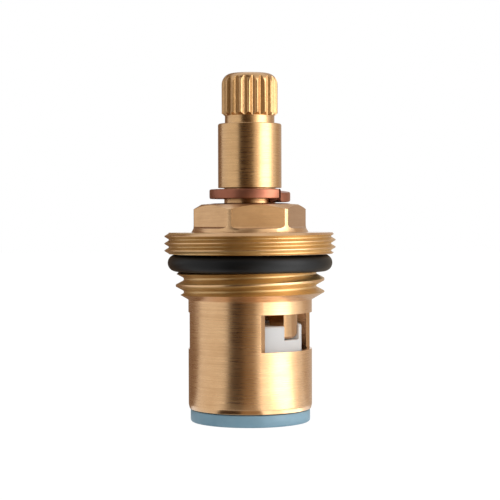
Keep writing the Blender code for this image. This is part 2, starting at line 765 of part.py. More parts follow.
def make_fixed_disc(parts, cutters):
    """Makes the lower disc, held by two ears, with apertures that the closed upper disc covers."""
    profile = disc_profile(FIXED_DISC_RADIUS, FIXED_DISC_BOTTOM, FIXED_DISC_TOP)
    disc = turned("fixed_disc", profile, parts)
    ears = [
        prism(
            f"ear_{number}",
            [tongue(EAR_WIDTH, APERTURE_OUTER_RADIUS + ROOT_OVERLAP, EAR_RADIUS, bearing)],
            FIXED_DISC_BOTTOM + DISC_CHAMFER,
            FIXED_DISC_TOP - DISC_CHAMFER,
            cutters,
        )
        for number, bearing in enumerate(opposed(EAR_BEARING), start=1)
    ]
    combine(disc, ears, "UNION")
    tools = aperture_cutters(
        "fixed_disc", PRONG_BEARING, FIXED_DISC_BOTTOM, FIXED_DISC_TOP, cutters
    )
    return combine(disc, tools, "DIFFERENCE")


def make_seat_seal(parts):
    """Makes the rubber seat seal, with a lip below the barrel and a bead under the fixed disc."""
    lip = NOSE_RADIUS - SEAL_LIP_INSET
    outer = BORE_RADIUS - SEAT_GAP
    inner = outer - SEAL_WALL
    bead = outer - SEAL_INNER_STEP
    shoulder = SEAL_HEIGHT - SEAL_BEAD_HEIGHT
    rounding = SEAL_LIP_ROUND
    profile = [
        (bead - SEAL_BEAD_WIDTH, SEAL_HEIGHT),
        (bead, SEAL_HEIGHT),
        (outer, shoulder),
        (outer, SEAL_LIP_HEIGHT),
        *quarter_round(lip - rounding, SEAL_LIP_HEIGHT - rounding, rounding, math.pi / 2),
        *quarter_round(lip - rounding, rounding, rounding, 0.0),
        (inner, 0.0),
        (inner, shoulder),
    ]
    return turned("seat_seal", profile, parts)


def make_seal_support_ring(parts):
    """Makes the stiff ring that keeps the seal's wall from folding inwards."""
    outer = BORE_RADIUS - SEAT_GAP - SEAL_WALL - SEAT_GAP
    inner = outer - SUPPORT_RING_WALL
    top = SEAL_HEIGHT - SEAL_BEAD_HEIGHT - SEAT_GAP
    bottom = SUPPORT_RING_FOOT
    chamfer = SUPPORT_RING_CHAMFER
    profile = [
        (outer - chamfer, top),
        (outer, top - chamfer),
        (outer, bottom + chamfer),
        (outer - chamfer, bottom),
        (inner, bottom),
        (inner, top),
    ]
    return turned("seal_support_ring", profile, parts, INNER_RING_SIDES)


def finish(obj, material):
    """Gives an object its material and smooth shading with sharp edges kept."""
    obj.data.materials.clear()
    obj.data.materials.append(material)
    obj.data.shade_smooth()
    obj.data.set_sharp_from_angle(angle=SHARP_ANGLE)


def main():
    """Builds the cartridge."""
    clear_scene()
    parts = new_collection("ceramic_disc_tap_cartridge")
    cutters = new_collection("cutters")
    brass = new_material("brass", (0.70, 0.45, 0.20), 0.28, 1.0)
    copper = new_material("copper_plated_spring_steel", (0.62, 0.28, 0.16), 0.3, 1.0)
    black_rubber = new_material("black_rubber", (0.012, 0.012, 0.013), 0.5)
    blue_rubber = new_material("blue_rubber", (0.22, 0.38, 0.48), 0.5)
    ceramic = new_material("white_ceramic", (0.84, 0.81, 0.80), 0.25)
    white_plastic = new_material("white_plastic", (0.75, 0.75, 0.72), 0.45)

    body = make_valve_body(parts, cutters)
    spindle = make_spindle(parts, cutters)
    clip = make_retaining_clip(parts)
    flange_ring, stem_rings = make_rubber_rings(parts)
    washer = make_friction_washer(parts)
    rotating_disc = make_rotating_disc(parts, cutters)
    fixed_disc = make_fixed_disc(parts, cutters)
    seal = make_seat_seal(parts)
    support_ring = make_seal_support_ring(parts)

    finishes = (
        (brass, (body, spindle)),
        (copper, (clip,)),
        (black_rubber, (flange_ring, *stem_rings)),
        (blue_rubber, (seal,)),
        (ceramic, (rotating_disc, fixed_disc)),
        (white_plastic, (support_ring, washer)),
    )
    for material, objects in finishes:
        for obj in objects:
            finish(obj, material)

    turning_axis = bpy.data.objects.new("turning_axis", None)
    turning_axis.empty_display_size = SPINDLE_DIAMETER
    parts.objects.link(turning_axis)
    for obj in (spindle, clip, rotating_disc, *stem_rings):
        obj.parent = turning_axis


main()
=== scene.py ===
"""Ceramic disc tap cartridge: the dressed model round its CAD frame, and its studio.

Sizes are in millimetres until a piece is fitted, when its mesh is brought to metres. The spindle's
axis is the Z axis. A bearing of 0 degrees faces the camera, -Y, and bearings grow counter-clockwise
seen from above.
"""

import logging
import math
from dataclasses import dataclass
from enum import Enum

import bmesh
import bpy
from bpy.types import Material, Node, NodeSocket, NodeTree, Object, World
from mathutils import Matrix, Vector


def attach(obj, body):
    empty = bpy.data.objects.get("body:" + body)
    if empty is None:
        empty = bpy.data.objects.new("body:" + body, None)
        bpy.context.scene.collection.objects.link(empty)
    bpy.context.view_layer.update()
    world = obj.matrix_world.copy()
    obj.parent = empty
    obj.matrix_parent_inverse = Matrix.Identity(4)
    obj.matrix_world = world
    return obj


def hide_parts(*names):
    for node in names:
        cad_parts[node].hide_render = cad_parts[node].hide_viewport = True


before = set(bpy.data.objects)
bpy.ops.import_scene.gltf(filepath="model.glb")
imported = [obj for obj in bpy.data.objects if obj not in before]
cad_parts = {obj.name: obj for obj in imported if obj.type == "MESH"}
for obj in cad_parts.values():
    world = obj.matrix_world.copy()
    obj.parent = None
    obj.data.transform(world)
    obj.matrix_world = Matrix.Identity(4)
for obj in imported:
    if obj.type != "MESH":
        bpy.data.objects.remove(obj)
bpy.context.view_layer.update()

MM = 0.001
FULL_TURN = 2 * math.pi
WELD = 1e-4
OVERCUT = 1.0
SHARP_ANGLE = math.radians(28)
HOUSING = "housing"
SPINDLE_ASSEMBLY = "spindle_assembly"
WHITE = (1.0, 1.0, 1.0, 1.0)

# Bearings that two pieces share: the prongs' with their notches, and the ears' with their keyways.
PRONG_BEARING = math.radians(55)
EAR_BEARING = math.radians(148.6)

Profile = list[tuple[float, float]]
Corner = tuple[float, float, float]
Colour = tuple[float, float, float, float]

log = logging.getLogger("cartridge")


# shaping helpers


def linear(code: str) -> Colour:
    """Turns an sRGB hex colour into a linear one.

    Args:
        code: The colour as six hex digits.

    Returns:
        Red, green, blue and an alpha of 1.
    """
    channels = [int(code[index : index + 2], 16) / 255 for index in (0, 2, 4)]
    red, green, blue = (
        value / 12.92 if value <= 0.04045 else ((value + 0.055) / 1.055) ** 2.4
        for value in channels
    )
    return (red, green, blue, 1.0)


def polar(radius: float, bearing: float) -> tuple[float, float]:
    """Gives a plan point.

    Args:
        radius: Distance from the axis.
        bearing: Bearing in radians.

    Returns:
        Its x and y.
    """
    return (radius * math.sin(bearing), -radius * math.cos(bearing))


def opposed(bearing: float) -> tuple[float, float]:
    """Gives a bearing and the one opposite it."""
    return (bearing, bearing + math.pi)


def arc(radius: float, start: float, end: float, step_angle: float = 0.04) -> Profile:
    """Divides an arc about the axis into plan points.

    Args:
        radius: Radius of the arc.
        start: First bearing.
        end: Last bearing.
        step_angle: Largest angle between two points.

    Returns:
        The points, both ends included.
    """
    steps = max(2, math.ceil(abs(end - start) / step_angle))
    return [polar(radius, start + (end - start) * step / steps) for step in range(steps + 1)]


def sector(inner: float, outer: float, bearing: float, angle: float) -> Profile:
    """Outlines a ring sector centred on a bearing.

    Args:
        inner: Inner radius.
        outer: Outer radius.
        bearing: Bearing of its middle.
        angle: Angle that it spans.

    Returns:
        The outline's plan points.
    """
    start, end = bearing - angle / 2, bearing + angle / 2
    return arc(outer, start, end) + arc(inner, end, start)


def tongue(width: float, inner: float, outer: float, bearing: float) -> Profile:
    """Outlines a straight-sided tongue that ends in an arc about the axis.

    Args:
        width: Width across the sides.
        inner: Distance of its root from the axis.
        outer: Radius of its end.
        bearing: Bearing that it points along.

    Returns:
        The outline's plan points.
    """
    half = math.asin(width / 2 / outer)
    across = Vector(polar(1.0, bearing + math.pi / 2))
    along = Vector(polar(1.0, bearing))
    root = [tuple(along * inner + across * side * width / 2) for side in (1, -1)]
    return arc(outer, bearing - half, bearing + half) + root


def softened(corners: list[Corner], closed: bool = True, steps: int = 3) -> Profile:
    """Rounds the corners of a profile.

    Args:
        corners: Radius, height and edge rounding of each corner.
        closed: Whether the last corner joins the first.
        steps: Segments in each rounding.

    Returns:
        The points of the rounded profile.
    """
    points: Profile = []
    last = len(corners) - 1
    for index, (radius, height, rounding) in enumerate(corners):
        here = Vector((radius, height))
        if rounding == 0.0 or (not closed and index in (0, last)):
            points.append((radius, height))
            continue
        back = Vector(corners[index - 1][:2]) - here
        ahead = Vector(corners[(index + 1) % len(corners)][:2]) - here
        reach = min(
            rounding / math.tan(back.angle(ahead) / 2), 0.45 * back.length, 0.45 * ahead.length
        )
        start = here + back.normalized() * reach
        end = here + ahead.normalized() * reach
        for step in range(steps + 1):
            part = step / steps
            point = start * (1 - part) ** 2 + here * 2 * part * (1 - part) + end * part**2
            points.append((point.x, point.y))
    return points


def solid(name: str, work: bmesh.types.BMesh) -> Object:
    """Closes a mesh in work and links it as an object.

    Args:
        name: Name of the object.
        work: The mesh in work, which is freed.

    Returns:
        The object, still in millimetres.
    """
    bmesh.ops.remove_doubles(work, verts=work.verts, dist=WELD)
    bmesh.ops.recalc_face_normals(work, faces=work.faces)
    mesh = bpy.data.meshes.new(name)
    work.to_mesh(mesh)
    work.free()
    obj = bpy.data.objects.new(name, mesh)
    bpy.context.scene.collection.objects.link(obj)
    return obj


def spun(name: str, profile: Profile, closed: bool = True, steps: int = 192) -> Object:
    """Turns a profile about the axis, as a lathe does.

    Args:
        name: Name of the object.
        profile: Points of radius and height.
        closed: Whether the last point joins the first; if not, both ends lie on the axis.
        steps: Segments of the full turn.

    Returns:
        The turned solid.
    """
    work = bmesh.new()
    verts = [work.verts.new((0.0, -radius, height)) for radius, height in profile]
    pairs = list(zip(verts, verts[1:]))
    if closed:
        pairs.append((verts[-1], verts[0]))
    edges = [work.edges.new(pair) for pair in pairs]
    bmesh.ops.spin(
        work,
        geom=verts + edges,
        cent=(0.0, 0.0, 0.0),
        axis=(0.0, 0.0, 1.0),
        dvec=(0.0, 0.0, 0.0),
        angle=FULL_TURN,
        steps=steps,
        use_merge=True,
    )
    return solid(name, work)


def wound(
    name: str, section: Profile, lead: float, turns: float, bearing: float, steps: int = 160
) -> Object:
    """Winds a section round the axis on a right-handed helix, closed at both ends.

    Args:
        name: Name of the object.
        section: Closed section of radius and height at the start.
        lead: Rise in one turn.
        turns: Number of turns.
        bearing: Bearing of the start.
        steps: Segments in one turn.

    Returns:
        The wound solid.
    """
    work = bmesh.new()
    face = work.faces.new(
        [work.verts.new((*polar(radius, bearing), height)) for radius, height in section]
    )
    bmesh.ops.spin(
        work,
        geom=[face, *face.edges, *face.verts],
        cent=(0.0, 0.0, 0.0),
        axis=(0.0, 0.0, 1.0),
        dvec=(0.0, 0.0, lead / steps),
        angle=FULL_TURN * turns,
        steps=round(steps * turns),
    )
    return solid(name, work)


def prism(name: str, outlines: list[Profile], bottom: float, top: float, rim: float = 0.0) -> Object:
    """Raises an upright prism from plan outlines.

    Args:
        name: Name of the object.
        outlines: The outline, then those of its holes.
        bottom: Height of its lower face.
        top: Height of its upper face.
        rim: Rounding of its lower rim.

    Returns:
        The prism.
    """
    work = bmesh.new()
    edges = []
    for outline in outlines:
        verts = [work.verts.new((x, y, bottom)) for x, y in outline]
        edges += [work.edges.new(pair) for pair in zip(verts, verts[1:] + verts[:1])]
    if len(outlines) == 1:
        base = [work.faces.new(verts)]
    else:
        filled = bmesh.ops.triangle_fill(work, use_beauty=True, edges=edges)
        base = [item for item in filled["geom"] if isinstance(item, bmesh.types.BMFace)]
    raised = bmesh.ops.extrude_face_region(work, geom=base)
    lifted = [item for item in raised["geom"] if isinstance(item, bmesh.types.BMVert)]
    bmesh.ops.translate(work, verts=lifted, vec=(0.0, 0.0, top - bottom))
    if rim > 0.0:
        lower = [
            edge
            for edge in work.edges
            if all(vert.co.z < bottom + WELD for vert in edge.verts)
            and edge.calc_face_angle(0.0) > SHARP_ANGLE
        ]
        bmesh.ops.bevel(
            work, geom=lower, offset=rim, segments=3, profile=0.5, affect="EDGES", material=-1
        )
    return solid(name, work)


def block(name: str, size: Vector, centre: Vector, bearing: float) -> Object:
    """Makes a box in a frame whose first side points along a bearing.

    Args:
        name: Name of the object.
        size: Length along the bearing, width and height.
        centre: Its middle in the turned frame.
        bearing: The bearing.

    Returns:
        The box.
    """
    work = bmesh.new()
    bmesh.ops.create_cube(work, size=1.0)
    bmesh.ops.scale(work, verts=work.verts, vec=size)
    bmesh.ops.translate(work, verts=work.verts, vec=centre)
    bmesh.ops.rotate(
        work,
        verts=work.verts,
        cent=(0.0, 0.0, 0.0),
        matrix=Matrix.Rotation(bearing - math.pi / 2, 3, "Z"),
    )
    return solid(name, work)


class Join(Enum):
    """How a tool works on a piece."""

    CUT = "DIFFERENCE"
    ADD = "UNION"


def worked(obj: Object, tools: list[Object], join: Join) -> Object:
    """Cuts a piece with tools, or joins them on, and clears the tools away.

    Args:
        obj: The piece.
        tools: The tools, whose materials the new faces take.
        join: What the tools do.

    Returns:
        The piece.
    """
    for tool in tools:
        step = obj.modifiers.new(tool.name, "BOOLEAN")
        step.operation = join.value
        step.solver = "EXACT"
        step.material_mode = "TRANSFER"
        step.object = tool
    bpy.context.view_layer.update()
    graph = bpy.context.evaluated_depsgraph_get()
    mesh = bpy.data.meshes.new_from_object(obj.evaluated_get(graph))
    mesh.name = obj.name
    obj.modifiers.clear()
    obj.data = mesh
    for tool in tools:
        bpy.data.objects.remove(tool, do_unlink=True)
    return obj


@dataclass(frozen=True)
class ThreadForm:
    """One standard thread, as a lathe cuts it.

    Its crest_height is that of one crest at the photo's left, and its roundings are shares of the
    pitch. The gap keeps the cutter's turns clear of one another outside the crest.
    """

    crest: float
    depth: float
    pitch: float
    flank_angle: float
    crest_height: float
    root_share: float = 0.25
    root_round: float = 0.18
    crest_round: float = 0.1
    crest_dip: float = 0.02
    gap: float = 0.03
    overreach: float = 0.6
    start_bearing: float = -math.pi / 2 + FULL_TURN / 320

    def cutter(self, name: str, bottom: float, top: float) -> Object:
        """Winds the solid that the threading tool removes.

        Args:
            name: Name of the object.
            bottom: Lowest height that it must reach.
            top: Highest height that it must reach.

        Returns:
            The helical cutter.
        """
        root = self.crest - self.depth
        slope = math.tan(self.flank_angle)
        at_root = (self.pitch - 2 * self.depth * slope) * self.root_share
        at_crest = at_root + self.depth * slope
        edge = self.pitch / 2 - self.gap
        upper = [
            (root, at_root, self.root_round * self.pitch),
            (self.crest - self.crest_dip, at_crest, self.crest_round * self.pitch),
            (self.crest + self.gap, edge, 0.0),
            (self.crest + self.overreach, edge, 0.0),
        ]
        lower = [(radius, -height, rounding) for radius, height, rounding in reversed(upper)]
        groove = self.crest_height + self.pitch / 2
        start = groove - self.pitch * math.ceil((groove - bottom) / self.pitch + 0.5)
        turns = math.ceil((top - start) / self.pitch + 0.5)
        section = [(radius, start + height) for radius, height in softened(upper + lower)]
        return wound(name, section, self.pitch, turns, self.start_bearing)


# finishes


def add_node(
    tree: NodeTree,
    kind: str,
    values: dict[str | int, object] | None = None,
    links: dict[str | int, NodeSocket] | None = None,
    **settings: object,
) -> Node:
    """Adds a node with its settings and links.

    Args:
        tree: The material's node tree.
        kind: Type name of the node.
        values: Input values by socket.
        links: Outputs to link in, by socket.
        **settings: Properties of the node.

    Returns:
        The node.
    """
    node = tree.nodes.new(kind)
    for key, value in settings.items():
        setattr(node, key, value)
    for key, value in (values or {}).items():
        node.inputs[key].default_value = value
    for key, socket in (links or {}).items():
        tree.links.new(socket, node.inputs[key])
    return node


def bare_tree(owner: Material | World) -> NodeTree:
    """Switches on the nodes of a material or world and clears them.

    Args:
        owner: The material or world.

    Returns:
        Its empty node tree.
    """
    owner.use_nodes = True
    owner.node_tree.nodes.clear()
    return owner.node_tree


def place_in_mm(tree: NodeTree) -> NodeSocket:
    """Gives the object coordinates of a point in millimetres.

    Args:
        tree: The material's node tree.

    Returns:
        The vector output.
    """
    place = add_node(tree, "ShaderNodeTexCoord")
    return add_node(
        tree,
        "ShaderNodeVectorMath",
        {"Scale": 1 / MM},
        {0: place.outputs["Object"]},
        operation="SCALE",
    ).outputs["Vector"]


@dataclass(frozen=True)
class Finish:
    """A material with one Principled shader: two colours in patches, under a fine relief.

    The roughness runs through the two values of gloss as the relief runs through its contrast.
    """

    name: str
    base: str
    shade: str
    gloss: tuple[float, float]
    relief_mm: float
    contrast: tuple[float, float] = (0.0, 1.0)
    bump: float = 0.4
    metallic: float = 0.0
    ior: float = 1.5
    coat: float = 0.0

    def relief(self, tree: NodeTree, place: NodeSocket) -> NodeSocket:
        """Gives the height of the fine relief; each finish has its own.

        Args:
            tree: The material's node tree.
            place: Object coordinates in millimetres.

        Returns:
            The value output.
        """
        raise NotImplementedError

    def patches(self, tree: NodeTree, place: NodeSocket, relief: NodeSocket) -> NodeSocket:
        """Gives the share of the shade colour; each finish has its own.

        Args:
            tree: The material's node tree.
            place: Object coordinates in millimetres.
            relief: Height of the fine relief.

        Returns:
            The value output.
        """
        raise NotImplementedError

    def make(self) -> Material:
        """Makes the material, or gives the one already made."""
        known = bpy.data.materials.get(self.name)
        if known:
            return known
        material = bpy.data.materials.new(self.name)
        material.use_nodes = True
        tree = material.node_tree
        shader = tree.nodes["Principled BSDF"]
        place = place_in_mm(tree)
        relief = self.relief(tree, place)
        colour = add_node(
            tree,
            "ShaderNodeMix",
            {6: linear(self.base), 7: linear(self.shade)},
            {0: self.patches(tree, place, relief)},
            data_type="RGBA",
        ).outputs[2]
        ends = dict(zip(("From Min", "From Max", "To Min", "To Max"), self.contrast + self.gloss))
        roughness = add_node(tree, "ShaderNodeMapRange", ends, {"Value": relief}).outputs["Result"]
        bump = add_node(
            tree,
            "ShaderNodeBump",
            {"Strength": self.bump, "Distance": self.relief_mm * MM},
            {"Height": relief},
        ).outputs["Normal"]
        shader.inputs["Metallic"].default_value = self.metallic
        shader.inputs["Coat Weight"].default_value = self.coat
        shader.inputs["Coat Roughness"].default_value = 0.25
        if self.metallic == 0.0:
            shader.inputs["IOR"].default_value = self.ior
        for socket, source in (("Base Color", colour), ("Roughness", roughness), ("Normal", bump)):
            tree.links.new(source, shader.inputs[socket])
        return material


class Tooling(Enum):
    """The machine that cut a brass face, which sets the run of its fine marks."""

    LATHE = "turned"
    MILL = "milled"


@dataclass(frozen=True)
class MachinedBrass(Finish):
    """Free-cutting brass, left as machined, under a thin film of oil.

    The marks of the tool run round the piece where it was turned and level where it was milled.
    Feed marks of 0.1 mm are too fine to show, so they are drawn about twice as coarse.
    """

    base: str = "D6AC7C"
    shade: str = "BA8B58"
    gloss: tuple[float, float] = (0.22, 0.36)
    relief_mm: float = 0.02
    contrast: tuple[float, float] = (0.3, 0.7)
    bump: float = 0.5
    metallic: float = 1.0
    coat: float = 0.9
    tooling: Tooling = Tooling.LATHE
    marks_per_mm: float = 4.5
    blotch_mm: float = 4.0

    def run(self, tree: NodeTree, place: NodeSocket) -> NodeSocket:
        """Gives the coordinates that the tool marks follow.

        Args:
            tree: The material's node tree.
            place: Object coordinates in millimetres.

        Returns:
            The vector output.
        """
        if self.tooling is Tooling.MILL:
            stretch = (0.25, 0.25, self.marks_per_mm)
            return add_node(
                tree, "ShaderNodeVectorMath", {1: stretch}, {0: place}, operation="MULTIPLY"
            ).outputs["Vector"]
        flat = add_node(
            tree, "ShaderNodeVectorMath", {1: (1, 1, 0)}, {0: place}, operation="MULTIPLY"
        ).outputs["Vector"]
        reach = add_node(
            tree, "ShaderNodeVectorMath", {}, {0: flat}, operation="LENGTH"
        ).outputs["Value"]
        heading = add_node(
            tree, "ShaderNodeVectorMath", {}, {0: flat}, operation="NORMALIZE"
        ).outputs["Vector"]
        height = add_node(tree, "ShaderNodeSeparateXYZ", {}, {0: place}).outputs["Z"]
        along = add_node(
            tree, "ShaderNodeMath", {}, {0: reach, 1: height}, operation="ADD"
        ).outputs["Value"]
        stretched = add_node(
            tree, "ShaderNodeMath", {1: self.marks_per_mm}, {0: along}, operation="MULTIPLY"
        ).outputs["Value"]
        rise = add_node(tree, "ShaderNodeCombineXYZ", {}, {"Z": stretched}).outputs["Vector"]
        return add_node(
            tree, "ShaderNodeVectorMath", {}, {0: heading, 1: rise}, operation="ADD"
        ).outputs["Vector"]

    def relief(self, tree: NodeTree, place: NodeSocket) -> NodeSocket:
        """Gives the height of the tool marks."""
        return add_node(
            tree,
            "ShaderNodeTexNoise",
            {"Scale": 1.0, "Detail": 4.0, "Roughness": 0.62},
            {"Vector": self.run(tree, place)},
        ).outputs["Fac"]

    def patches(self, tree: NodeTree, place: NodeSocket, relief: NodeSocket) -> NodeSocket:
        """Gives the share of the duller brass, in faint blotches and along the marks."""
        blotches = add_node(
            tree,
            "ShaderNodeTexNoise",
            {"Scale": 1 / self.blotch_mm, "Detail": 3.0, "Roughness": 0.55},
            {"Vector": place},
        ).outputs["Fac"]
        worn, streaks = (
            add_node(
                tree,
                "ShaderNodeMapRange",
                {"From Min": low, "From Max": 0.75, "To Min": 0.0, "To Max": most},
                {"Value": source},
            ).outputs["Result"]
            for source, low, most in ((blotches, 0.42, 0.45), (relief, 0.35, 0.35))
        )
        return add_node(
            tree, "ShaderNodeMath", {}, {0: worn, 1: streaks}, operation="ADD", use_clamp=True
        ).outputs["Value"]


@dataclass(frozen=True)
class GrainedFinish(Finish):
    """A finish of two close colours in soft clouds, with a fine even grain."""

    grain_mm: float = 0.25

    def relief(self, tree: NodeTree, place: NodeSocket) -> NodeSocket:
        """Gives the height of the grain."""
        return add_node(
            tree,
            "ShaderNodeTexNoise",
            {"Scale": 1 / self.grain_mm, "Detail": 3.0, "Roughness": 0.6},
            {"Vector": place},
        ).outputs["Fac"]

    def patches(self, tree: NodeTree, place: NodeSocket, relief: NodeSocket) -> NodeSocket:
        """Gives the share of the shade colour, in clouds that don't follow the grain."""
        clouds = add_node(
            tree,
            "ShaderNodeTexNoise",
            {"Scale": 0.12 / self.grain_mm, "Detail": 2.0},
            {"Vector": place},
        ).outputs["Fac"]
        return add_node(
            tree, "ShaderNodeMapRange", {"From Min": 0.35, "From Max": 0.7}, {"Value": clouds}
        ).outputs["Result"]


# Free-cutting brass from the lathe: pale gold, its highlights frayed into level streaks by the rings.
TURNED_BRASS = MachinedBrass("turned_brass")
# The same brass milled flat: a smoother face, which mirrors its surroundings more clearly.
MILLED_BRASS = MachinedBrass(
    "milled_brass", tooling=Tooling.MILL, base="C89C6A", shade="AB7E4C", gloss=(0.16, 0.26)
)
# The same brass with a thread cut in it: rougher, yellower flanks, their colour darkened as a painted
# shade in the grooves, so they read darker than the brighter crests.
THREAD_BRASS_PAINTED_SHADE = MachinedBrass("threaded_brass_painted_shade", base="C8A469", shade="B08B55", gloss=(0.4, 0.54))
# The spindle's brass, turned from another bar: a shade darker than the body.
STEM_BRASS = MachinedBrass("stem_brass", base="CA9F6A", shade="AF8452")
# The spindle's brass where the spline is cut: a dull face that spreads the light over each tooth.
SPLINED_BRASS = MachinedBrass("splined_brass", base="C69A61", shade="AB7F4B", gloss=(0.4, 0.55))
# Copper-plated spring steel: a thin plate over drawn stock, smoother and redder than the brass.
COPPER_PLATE = GrainedFinish(
    "copper_plated_spring_steel", "A86F57", "945D49", (0.34, 0.46), 0.004, metallic=1.0, grain_mm=0.4
)
# Nitrile rubber, moulded in a polished tool: near black, with a soft sheen.
BLACK_RUBBER = GrainedFinish(
    "moulded_nitrile_rubber", "0B0B0C", "080809", (0.36, 0.48), 0.006, ior=1.3
)
# Dyed silicone rubber, moulded: an even matt light blue.
BLUE_RUBBER = GrainedFinish("moulded_blue_silicone", "84A9BC", "7CA2B6", (0.44, 0.56), 0.006)
# Acetal, moulded: a slightly warm white with a dull gloss.
ACETAL = GrainedFinish(
    "moulded_acetal", "E6E4DC", "DDDBD2", (0.36, 0.48), 0.004, ior=1.48, grain_mm=0.3
)


# the cartridge


def coated(obj: Object, finish: Finish) -> Object:
    """Gives a piece or a tool one finish, which a tool passes on to the faces that it cuts.

    Args:
        obj: The piece or tool.
        finish: The finish.

    Returns:
        The same object.
    """
    obj.data.materials.clear()
    obj.data.materials.append(finish.make())
    return obj


def fitted(obj: Object, body: str, node: str) -> None:
    """Brings a piece to metres, shades it and fixes it to its CAD body.

    Args:
        obj: The piece, in millimetres.
        body: Name of the CAD body that it rides on.
        node: Name of the CAD node that it replaces.
    """
    obj.data.transform(Matrix.Scale(MM, 4))
    obj.data.shade_smooth()
    obj.data.set_sharp_from_angle(angle=SHARP_ANGLE)
    even = obj.modifiers.new("even_shading", "WEIGHTED_NORMAL")
    even.keep_sharp = True
    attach(obj, body)
    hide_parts(node)
    log.info("%s: %d faces, replaces %s", obj.name, len(obj.data.polygons), node)


